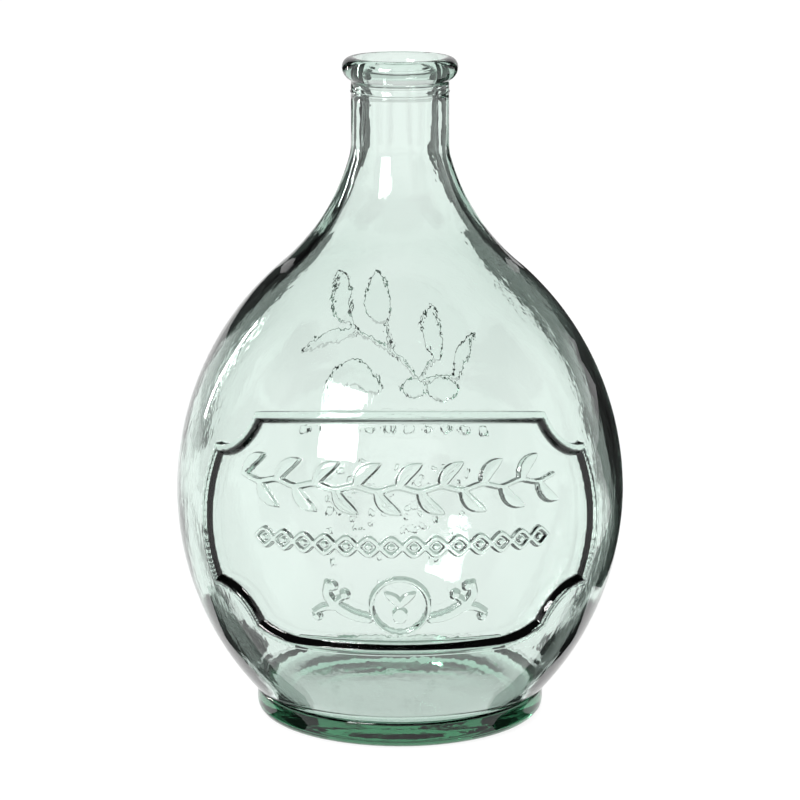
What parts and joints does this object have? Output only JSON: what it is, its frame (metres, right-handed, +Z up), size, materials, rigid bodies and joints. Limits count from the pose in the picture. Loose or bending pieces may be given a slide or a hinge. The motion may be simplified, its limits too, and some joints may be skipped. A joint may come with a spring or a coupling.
{
  "type": "glass oil bottle",
  "caption": "Empty round-bodied clear green glass oil bottle with a slim neck, rolled lip, thick foot ring and a raised cartouche frame on the front.",
  "frame": {"origin": "centre of the foot on the surface that the bottle stands on", "axes": "+Z up along the bottle's axis from foot to lip, framed panel facing -Y, +X to the right of someone who faces the panel"},
  "size_m": [0.1896, 0.1905, 0.28],
  "materials": {
    "glass": "clear pale green recycled glass, polished by fire, slightly wavy inside"
  },
  "bodies": {
    "root": {"bottle": "glass"}
  },
  "joints": []
}
